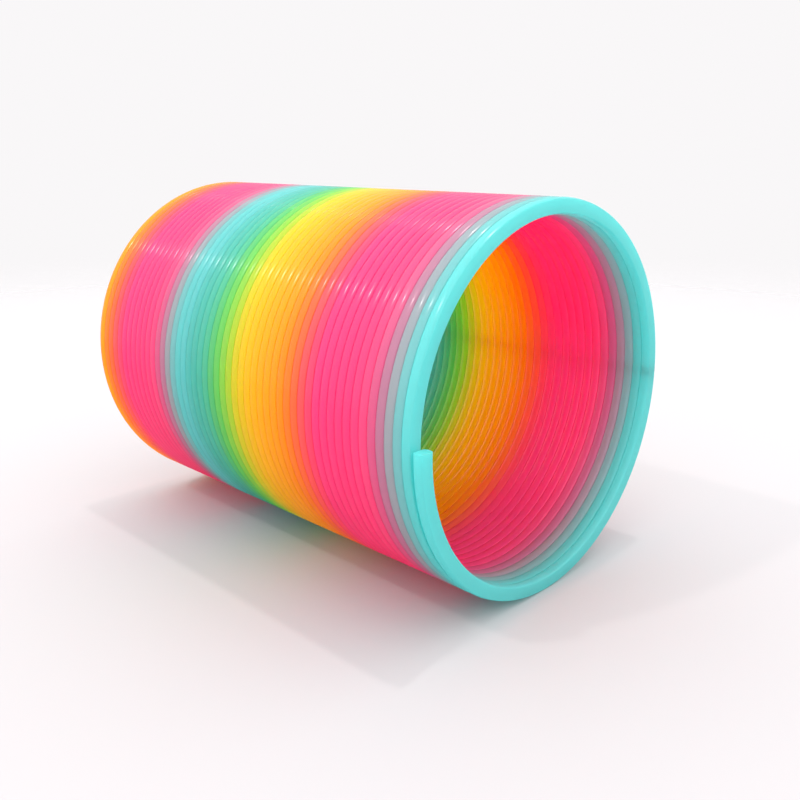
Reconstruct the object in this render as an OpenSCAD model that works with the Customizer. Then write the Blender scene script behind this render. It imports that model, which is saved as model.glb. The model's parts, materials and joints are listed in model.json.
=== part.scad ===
// Spring coil toy: one flat plastic strip wound on edge into a closed helix, lying on its side.
// Frame: the coil's axis runs along Y, its free front tip faces +Y, and it rests on the plane z = 0.
// The strip is divided once a turn, on the side away from the free tip (-X), so that every turn
// can open, slide and swing about its neighbour.

/* [Coil] */
// Outer diameter of the coil
outer_d = 75; // [50:0.5:100]
// Width of the strip, measured along the coil's radius
strip_w = 3; // [2:0.1:5]
// Distance between neighbouring turns of the closed coil, centre to centre
pitch = 2; // [1.6:0.1:3]
// Air left between closed turns
turn_gap = 0.05; // [0.03:0.01:0.1]
// Whole turns behind the free front half turn
whole_turns = 50; // [20:1:55]

/* [Ends] */
// How far the free front tip has sprung forward from the turn behind it
tip_lift = 0.6; // [0:0.1:1.5]
// Part of a turn over which the front tip closes back on the coil
tip_reach = 0.4; // [0.2:0.05:0.45]

/* [Resting] */
// Width of the flat that each turn rests on
rest_w = 2.4; // [1.5:0.1:4]

/* [Hidden] */
// Straight facets of the winding surface in one turn; a multiple of four, so one ends at the cut
facets = 12;
// Facets of the drawn cylinders
$fn = 180;

outer_r = outer_d / 2;
inner_r = outer_r - strip_w;
strip_t = pitch - turn_gap;
// Part of a turn from the front tip's side, +X, to the side of the cuts and of the back tip, -X
half = 0.5;
turns = whole_turns + half;
// Height of the coil's axis, with the resting flat on z = 0
axis_z = sqrt(outer_r * outer_r - rest_w * rest_w / 4);
// The winding surface is made wider than the strip and trimmed to it by the tube
winding_in = inner_r - strip_w;
winding_out = outer_r + strip_w;
coil_length = turns * pitch + strip_t + tip_lift;
// Length of the tube that trims the winding, and of the cutters that run past its ends
tube_length = coil_length + 2 * strip_w;
cutter_length = tube_length + 2 * strip_w;
// Centre of the strip at the front tip, before it springs forward
front_y = coil_length / 2 - tip_lift - strip_t / 2;
// Air left between the ends of neighbouring pieces at a cut, as an angle
cut_gap_deg = turn_gap / outer_r * 180 / PI;

// Colours of one repeat of the rainbow, in equal steps along the strip
RAINBOW = [
    [0.31, 0.82, 0.79], [0.38, 0.85, 0.80], [0.72, 0.76, 0.80], [0.90, 0.55, 0.70],
    [0.99, 0.33, 0.57], [0.99, 0.33, 0.57], [0.99, 0.40, 0.52], [0.99, 0.55, 0.33],
    [0.99, 0.69, 0.18], [0.97, 0.80, 0.17], [0.86, 0.85, 0.26], [0.56, 0.85, 0.50]
];
// Turns in one repeat of the rainbow, and turns of its first colour band lost before the tip
rainbow_turns = 33;
rainbow_lost = 5;

function two_digits(n) = n < 10 ? str("0", n) : str(n);
function turn_name(n) = str("turn_", two_digits(n));

// How far the strip stands forward at s turns from the front tip
function lift(s) = s < tip_reach ? tip_lift * pow(1 - s / tip_reach, 2) : 0;
// Centre of the strip along Y at s turns from the front tip
function strip_y(s) = front_y - pitch * s + lift(s);
// A point of the winding surface: the strip goes down from the tip on +X, under the coil,
// up on -X and back over the top, a left-handed helix
function winding_point(s, r, dy) = [r * cos(-360 * s), strip_y(s) + dy, r * sin(-360 * s)];
function section(s) = [
    winding_point(s, winding_in, -strip_t / 2),
    winding_point(s, winding_out, -strip_t / 2),
    winding_point(s, winding_out, strip_t / 2),
    winding_point(s, winding_in, strip_t / 2)
];
// Two triangles over the side between corners a and b of the cross-sections i and i + 1
function side(i, a, b) = [
    [4 * i + a, 4 * i + b, 4 * i + 4 + b],
    [4 * i + a, 4 * i + 4 + b, 4 * i + 4 + a]
];

// The winding surface given the strip's thickness, from s0 to s1 turns behind the front tip
module winding(s0, s1) {
    steps = round((s1 - s0) * facets);
    gap = cut_gap_deg / 360 / 2;
    places = [
        for (i = [0 : steps])
            s0 + i / facets + (i == 0 ? gap : 0) - (i == steps ? gap : 0)
    ];
    points = [for (s = places) each section(s)];
    faces = concat(
        [[3, 2, 1, 0], [4 * steps, 4 * steps + 1, 4 * steps + 2, 4 * steps + 3]],
        [for (i = [0 : steps - 1]) for (a = [0 : 3]) each side(i, a, (a + 1) % 4)]
    );
    polyhedron(points, faces, convexity = 4);
}

// Inner and outer faces of every turn: two true cylinders and the flat that it rests on
module tube_wall() {
    difference() {
        rotate([90, 0, 0])
            cylinder(h = tube_length, r = outer_r, center = true);
        rotate([90, 0, 0])
            cylinder(h = cutter_length, r = inner_r, center = true);
        translate([0, 0, -axis_z - outer_r])
            cube([2 * outer_r, cutter_length, 2 * outer_r], center = true);
    }
}

module strip(s0, s1) {
    translate([0, 0, axis_z])
        intersection() {
            tube_wall();
            winding(s0, s1);
        }
}

// Colour of the strip at s turns behind the front tip
function rainbow_share(s) = (s + rainbow_lost) / rainbow_turns;
function rainbow(s) = RAINBOW[floor(rainbow_share(s) * len(RAINBOW)) % len(RAINBOW)];

// Free half turn at the front, from its square-cut tip to the first cut
module front_end() {
    color(rainbow(0)) strip(0, half);
}

// One whole turn, from cut to cut
module turn(n) {
    color(rainbow(n)) strip(n - half, n + half);
}

// Last whole turn, from the last cut to the square-cut back tip
module back_end() {
    color(rainbow(whole_turns)) strip(whole_turns - half, whole_turns + half);
}

front_end();
for (n = [1 : whole_turns - 1]) {
    turn(n);
}
back_end();
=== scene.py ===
import json
import math

import bpy
import numpy as np
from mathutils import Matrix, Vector


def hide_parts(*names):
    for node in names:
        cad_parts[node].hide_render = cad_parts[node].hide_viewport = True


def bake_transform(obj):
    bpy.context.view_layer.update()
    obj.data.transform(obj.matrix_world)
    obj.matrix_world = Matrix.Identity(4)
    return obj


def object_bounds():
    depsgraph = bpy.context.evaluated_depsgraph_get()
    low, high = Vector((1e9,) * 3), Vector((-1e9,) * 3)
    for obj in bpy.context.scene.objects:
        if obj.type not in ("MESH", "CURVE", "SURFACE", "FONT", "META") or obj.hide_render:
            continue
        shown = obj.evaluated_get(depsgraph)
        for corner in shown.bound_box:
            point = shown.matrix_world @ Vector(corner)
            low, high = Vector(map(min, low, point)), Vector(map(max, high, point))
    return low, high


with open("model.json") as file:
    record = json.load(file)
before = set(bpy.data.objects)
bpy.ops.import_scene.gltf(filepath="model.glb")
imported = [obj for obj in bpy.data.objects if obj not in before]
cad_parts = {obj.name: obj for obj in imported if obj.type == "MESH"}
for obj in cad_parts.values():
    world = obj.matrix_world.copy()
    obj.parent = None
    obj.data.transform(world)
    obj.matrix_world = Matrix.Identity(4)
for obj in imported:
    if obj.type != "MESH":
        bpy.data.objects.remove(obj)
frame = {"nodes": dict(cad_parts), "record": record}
cad_low, cad_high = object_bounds()

# ---------------------------------------------------------------- Camera
# It stands low over the table, off the coil's open front end and on the free tip's side. The
# distances are in coil radii, from the middle of the front ring.

bore = next(m for m in frame["record"]["mounts"] if m["name"] == "bore")
bore_length = bore["dims"]["length_mm"] / 1000
outer_r = cad_high.x
ring_middle = Vector(bore["pos_m"]) + Vector((0, bore_length / 2, 0))

camera_data = bpy.data.cameras.new("camera")
camera_data.sensor_width = 36
camera_data.lens = 39.4
camera_data.clip_start = 0.005
camera = bpy.data.objects.new("camera", camera_data)
bpy.context.collection.objects.link(camera)
camera.location = ring_middle + outer_r * Vector((3.481, 2.333, 1.218))
looks_at = ring_middle + outer_r * Vector((1.107, 0, 0.259))
camera.rotation_euler = (looks_at - camera.location).to_track_quat("-Z", "Y").to_euler()
bpy.context.scene.camera = camera

# ---------------------------------------------------------------- Table
# A large sheet of matt white card that the toy lies on. Away from the toy it melts into the
# white of the room, so that no far edge of the table shows.

CARD_SIZE = 2.4
CARD_FADES_FROM = 0.16
CARD_FADES_TO = 0.6

bpy.ops.object.select_all(action="DESELECT")
bpy.ops.mesh.primitive_plane_add(size=CARD_SIZE)
card = bpy.context.object
card.name = "card_sheet"


class Wire:
    """A shader socket that is written in sums as if it were a number."""

    def __init__(self, socket):
        self.socket = socket

    def node(self, kind, settings, inputs, output=0):
        """Adds a node beside this one, and gives back the output that is asked for."""
        nodes = self.socket.id_data
        new = nodes.nodes.new(kind)
        for name, value in settings.items():
            setattr(new, name, value)
        for key, value in inputs.items():
            if isinstance(value, Wire):
                nodes.links.new(value.socket, new.inputs[key])
            else:
                new.inputs[key].default_value = value
        return Wire(new.outputs[output])

    def maths(self, operation, *values):
        return self.node("ShaderNodeMath", {"operation": operation}, dict(enumerate(values)))

    def __add__(self, other):
        return self.maths("ADD", self, other)

    __radd__ = __add__

    def __mul__(self, other):
        return self.maths("MULTIPLY", self, other)

    __rmul__ = __mul__

    def __sub__(self, other):
        return self.maths("SUBTRACT", self, other)

    def __rsub__(self, other):
        return self.maths("SUBTRACT", other, self)

    def __truediv__(self, other):
        return self.maths("DIVIDE", self, other)

    def __mod__(self, other):
        return self.maths("FLOORED_MODULO", self, other)


white_card = bpy.data.materials.new("white_card")
white_card.use_nodes = True
card_nodes = white_card.node_tree.nodes
card_shader = card_nodes["Principled BSDF"]
card_shader.inputs["Base Color"].default_value = (0.415, 0.415, 0.423, 1)
card_shader.inputs["Roughness"].default_value = 0.6
card_shader.inputs["Specular IOR Level"].default_value = 0.1
on_card = Wire(card_nodes.new("ShaderNodeTexCoord").outputs["Object"])
distance = on_card.node("ShaderNodeVectorMath", {"operation": "LENGTH"}, {0: on_card}, "Value")
fade = distance.node(
    "ShaderNodeMapRange", {"interpolation_type": "SMOOTHERSTEP"},
    {"Value": distance, "From Min": CARD_FADES_TO, "From Max": CARD_FADES_FROM},
)
white_card.node_tree.links.new(fade.socket, card_shader.inputs["Alpha"])
card.data.materials.append(white_card)

# ---------------------------------------------------------------- Lamps
# A white room, with more light in it than its backdrop shows and the most from its ceiling. Two
# small lamps draw the shadows and the bright points on the turns: one is almost straight
# overhead, the other high on the tip's side.

WALL_LIGHT = 1.6
CEILING_LIGHT = 2.6

bpy.context.scene.view_settings.view_transform = "Standard"
room = bpy.data.worlds.new("white_room")
bpy.context.scene.world = room
room.use_nodes = True
background = room.node_tree.nodes["Background"]
background.inputs["Color"].default_value = (0.947, 0.931, 0.939, 1)
seen = Wire(room.node_tree.nodes.new("ShaderNodeLightPath").outputs["Is Camera Ray"])
direction = Wire(room.node_tree.nodes.new("ShaderNodeTexCoord").outputs["Generated"])
upward = direction.node("ShaderNodeSeparateXYZ", {}, {0: direction}, "Z")
light = WALL_LIGHT + (CEILING_LIGHT - WALL_LIGHT) * upward.maths("MAXIMUM", upward, 0)
# The backdrop itself is seen at its plain strength, 1
strength = light + (1 - light) * seen
room.node_tree.links.new(strength.socket, background.inputs["Strength"])
# Light has to bounce many times inside the coil, as it does in the real one
bpy.context.scene.cycles.diffuse_bounces = 12
bpy.context.scene.cycles.max_bounces = 16

LAMP_DISTANCE = 1.2
LAMP_SIZE = 0.05
for name, towards, watts in (
    ("lamp_overhead", (-0.14, 0.0, 0.99), 3.0),
    ("lamp_side", (0.58, -0.24, 0.78), 2.6),
):
    lamp_data = bpy.data.lights.new(name, "AREA")
    lamp_data.shape = "DISK"
    lamp_data.size = LAMP_SIZE
    lamp_data.energy = watts
    lamp_data.color = (1.0, 0.88, 0.86)
    lamp = bpy.data.objects.new(name, lamp_data)
    lamp.location = Vector((0, 0, outer_r)) + LAMP_DISTANCE * Vector(towards).normalized()
    lamp.rotation_euler = (-Vector(towards)).to_track_quat("-Z", "Y").to_euler()
    bpy.context.collection.objects.link(lamp)

# ---------------------------------------------------------------- The strip
# The whole toy is one flat strip of glossy, slightly cloudy plastic, wound on edge into about
# fifty closed turns. Its edges are rounded and its walls a little crowned by the moulding, and
# its dye runs through a rainbow that comes round again after 33 turns.

inner_r = bore["dims"]["r_mm"] / 1000
mean_r = (outer_r + inner_r) / 2
strip_w = outer_r - inner_r
turns = len(frame["nodes"]) - 0.5
PITCH = 0.002
strip_t = bore_length - turns * PITCH
axis_z = ring_middle.z
front_y = ring_middle.y - strip_t / 2
CORNER_R = 0.00014
CROWN = 0.00028
STEPS_A_TURN = 144
# The front tip has sprung forward by tip_lift, and closes back over this part of a turn
TIP_REACH = 0.4
tip_lift = cad_high.y - ring_middle.y
PLACE = "place_on_strip"


def strip_section(name, start):
    """The strip's outline, rounded and a little crowned, at start turns from the front tip."""
    bpy.ops.object.select_all(action="DESELECT")
    bpy.ops.mesh.primitive_plane_add(size=1, location=(0, 0, axis_z))
    section = bpy.context.object
    section.name = name
    bpy.ops.object.mode_set(mode="EDIT")
    bpy.ops.transform.resize(value=(strip_w - 2 * CROWN, strip_t, 1))
    bpy.ops.transform.translate(value=(mean_r, 0, 0))
    bpy.ops.mesh.bevel(offset=CORNER_R, segments=5, affect="VERTICES")
    bpy.ops.mesh.delete(type="ONLY_FACE")
    bpy.ops.object.mode_set(mode="OBJECT")
    # The inner and outer walls are cut across, and pulled out into a crown with their corners
    for edge in section.data.edges:
        ends = [section.data.vertices[i].co for i in edge.vertices]
        edge.select = abs(ends[0].x - ends[1].x) < 1e-7
    bpy.ops.object.mode_set(mode="EDIT")
    bpy.ops.mesh.select_mode(type="EDGE")
    bpy.ops.mesh.subdivide(number_cuts=5)
    bpy.ops.object.mode_set(mode="OBJECT")
    for vertex in section.data.vertices:
        off_middle = vertex.co.y / (strip_t / 2)
        vertex.co.x += math.copysign(CROWN * (1 - off_middle ** 2), vertex.co.x - mean_r)
    section.rotation_euler.y = math.radians(360 * start)
    section.location.y = front_y - PITCH * start
    bpy.ops.object.transform_apply(location=False, rotation=True, scale=True)
    return section


def wind(name, start, end):
    """The strip from start to end, in turns from its front tip, with a flat cap at each end."""
    piece = strip_section(name, start)
    around = len(piece.data.vertices)
    steps = round(STEPS_A_TURN * (end - start))
    screw = piece.modifiers.new("winding", "SCREW")
    screw.axis = "Y"
    screw.angle = math.radians(360 * (end - start))
    screw.screw_offset = -PITCH * (end - start)
    screw.steps = screw.render_steps = steps
    bpy.ops.object.modifier_apply(modifier=screw.name)
    # Where each point was on the straight strip: in turns along it, then in metres across it
    mesh = piece.data
    points = np.empty(3 * len(mesh.vertices))
    mesh.vertices.foreach_get("co", points)
    points = points.reshape(steps + 1, around, 3)
    wound = np.linspace(0, end - start, steps + 1)[:, None]
    places = np.empty_like(points)
    places[:, :, 0] = start + wound
    places[:, :, 1] = np.hypot(points[:, :, 0], points[:, :, 2]) - mean_r
    places[:, :, 2] = points[:, :, 1] + PITCH * wound
    mesh.attributes.new(PLACE, "FLOAT_VECTOR", "POINT").data.foreach_set("vector", places.ravel())
    # A flat cap closes each end: the first ring of points, and then the last
    for first in (0, steps * around):
        for vertex in mesh.vertices:
            vertex.select = first <= vertex.index < first + around
        bpy.ops.object.mode_set(mode="EDIT")
        bpy.ops.mesh.select_mode(type="VERT")
        bpy.ops.mesh.edge_face_add()
        bpy.ops.mesh.select_all(action="DESELECT")
        bpy.ops.object.mode_set(mode="OBJECT")
    bpy.ops.object.mode_set(mode="EDIT")
    bpy.ops.mesh.select_all(action="SELECT")
    bpy.ops.mesh.normals_make_consistent(inside=False)
    bpy.ops.object.mode_set(mode="OBJECT")
    bpy.ops.object.shade_smooth_by_angle(angle=math.radians(50))
    bpy.ops.object.transform_apply(location=True, rotation=True, scale=True)
    return piece


front_end = wind("front_end_strip", 0, 0.5)
for vertex, place in zip(front_end.data.vertices, front_end.data.attributes[PLACE].data):
    vertex.co.y += tip_lift * max(0, 1 - place.vector.x / TIP_REACH) ** 2
first_turn = wind("turn_01_strip", 0.5, 1.5)
strips = [front_end, first_turn]
for n in range(2, len(frame["nodes"])):
    turn = first_turn.copy()
    turn.data = first_turn.data.copy()
    turn.name = f"turn_{n:02}_strip"
    bpy.context.collection.objects.link(turn)
    for vertex, place in zip(turn.data.vertices, turn.data.attributes[PLACE].data):
        vertex.co.y -= PITCH * (n - 1)
        place.vector.x += n - 1
    strips.append(turn)
strips[-1].name = "back_end_strip"

RAINBOW_TURNS = 33.0
# The strip was cut from a longer one, 5 turns into its rainbow
RAINBOW_LOST = 5.0
# Turns from the start of the rainbow, and the colour of the dye there
RAINBOW = (
    (0.0, (126, 228, 158)), (0.7, (114, 226, 188)), (2.0, (110, 224, 206)), (3.5, (110, 222, 212)),
    (5.0, (132, 230, 229)), (6.5, (134, 232, 230)), (8.0, (196, 203, 208)), (9.5, (232, 138, 184)),
    (11.0, (253, 106, 172)), (12.5, (253, 90, 168)), (17.0, (253, 90, 170)), (18.5, (253, 110, 142)),
    (20.0, (253, 150, 88)), (21.5, (253, 184, 22)), (23.0, (253, 203, 4)), (24.5, (253, 212, 4)),
    (26.0, (253, 220, 4)), (27.5, (250, 228, 12)), (29.0, (240, 234, 44)), (30.5, (196, 238, 84)),
    (32.0, (145, 234, 130)), (33.0, (126, 228, 158)),
)


def linear(colour):
    """The scene-linear colour of a colour given as 0 to 255."""
    shares = (c / 255 for c in colour)
    return tuple(c / 12.92 if c <= 0.04045 else ((c + 0.055) / 1.055) ** 2.4 for c in shares)


plastic = bpy.data.materials.new("rainbow_plastic")
plastic.use_nodes = True
gloss = plastic.node_tree.nodes["Principled BSDF"]
stored_place = plastic.node_tree.nodes.new("ShaderNodeAttribute")
stored_place.attribute_name = PLACE
on_strip = Wire(stored_place.outputs["Vector"])
along = on_strip.node("ShaderNodeSeparateXYZ", {}, {0: on_strip}, "X")
share_of_rainbow = (along + RAINBOW_LOST) % RAINBOW_TURNS / RAINBOW_TURNS
dye = on_strip.node("ShaderNodeValToRGB", {}, {"Fac": share_of_rainbow})
stops = dye.socket.node.color_ramp.elements
stops[1].position = 1.0
for at, colour in RAINBOW[1:-1]:
    stops.new(at / RAINBOW_TURNS)
for stop, (at, colour) in zip(stops, RAINBOW):
    stop.color = (*linear(colour), 1)
# Draw lines run along the strip; cloudy patches are some millimetres long
drawn = on_strip.node("ShaderNodeVectorMath", {"operation": "MULTIPLY"}, {0: on_strip, 1: (60, 6000, 6000)})
lines = on_strip.node("ShaderNodeTexNoise", {}, {"Vector": drawn, "Scale": 1.0, "Detail": 3.0})
spread = on_strip.node("ShaderNodeVectorMath", {"operation": "MULTIPLY"}, {0: on_strip, 1: (30, 300, 300)})
clouds = on_strip.node("ShaderNodeTexNoise", {}, {"Vector": spread, "Scale": 1.0, "Detail": 4.0})
deep_dye = on_strip.node("ShaderNodeGamma", {}, {"Color": dye, "Gamma": 1.3})
clouded = on_strip.node(
    "ShaderNodeMix", {"data_type": "RGBA"}, {"Factor": clouds * 0.4, 6: dye, 7: deep_dye}, output=2,
)
link = plastic.node_tree.links.new
link(clouded.socket, gloss.inputs["Base Color"])
link((0.12 + lines * 0.12).socket, gloss.inputs["Roughness"])
gloss.inputs["IOR"].default_value = 1.49
gloss.inputs["Specular IOR Level"].default_value = 0.8
bump = on_strip.node("ShaderNodeBump", {}, {"Strength": 0.15, "Distance": 0.00003, "Height": lines})
link(bump.socket, gloss.inputs["Normal"])
# Two thirds of the light that gets into the plastic goes on through it
through = on_strip.node("ShaderNodeBsdfTranslucent", {}, {"Color": clouded})
both = on_strip.node("ShaderNodeMixShader", {}, {0: 0.66, 1: Wire(gloss.outputs["BSDF"]), 2: through})
link(both.socket, plastic.node_tree.nodes["Material Output"].inputs["Surface"])

# The lengths lie in pairs, and each strip's points get their share of the way along its pair,
# from the start of the first length to the end of the second. The last length has no partner,
# so its share runs along it alone.
bodies = [strip.name.removesuffix("_strip") for strip in strips]
for n, strip in enumerate(strips):
    strip.data.materials.append(plastic)
    first = min(n - n % 2, len(strips) - 2)
    start = max(0, first - 0.5)
    end = first + 1.5
    if strip is strips[-1]:
        start = end - 1
    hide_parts(bodies[n])
    bodies[first + 1]
    -front_y
    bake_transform(strip)
    along_strip = np.array([p.vector.x for p in strip.data.attributes[PLACE].data])
    share = (along_strip - start) / (end - start)
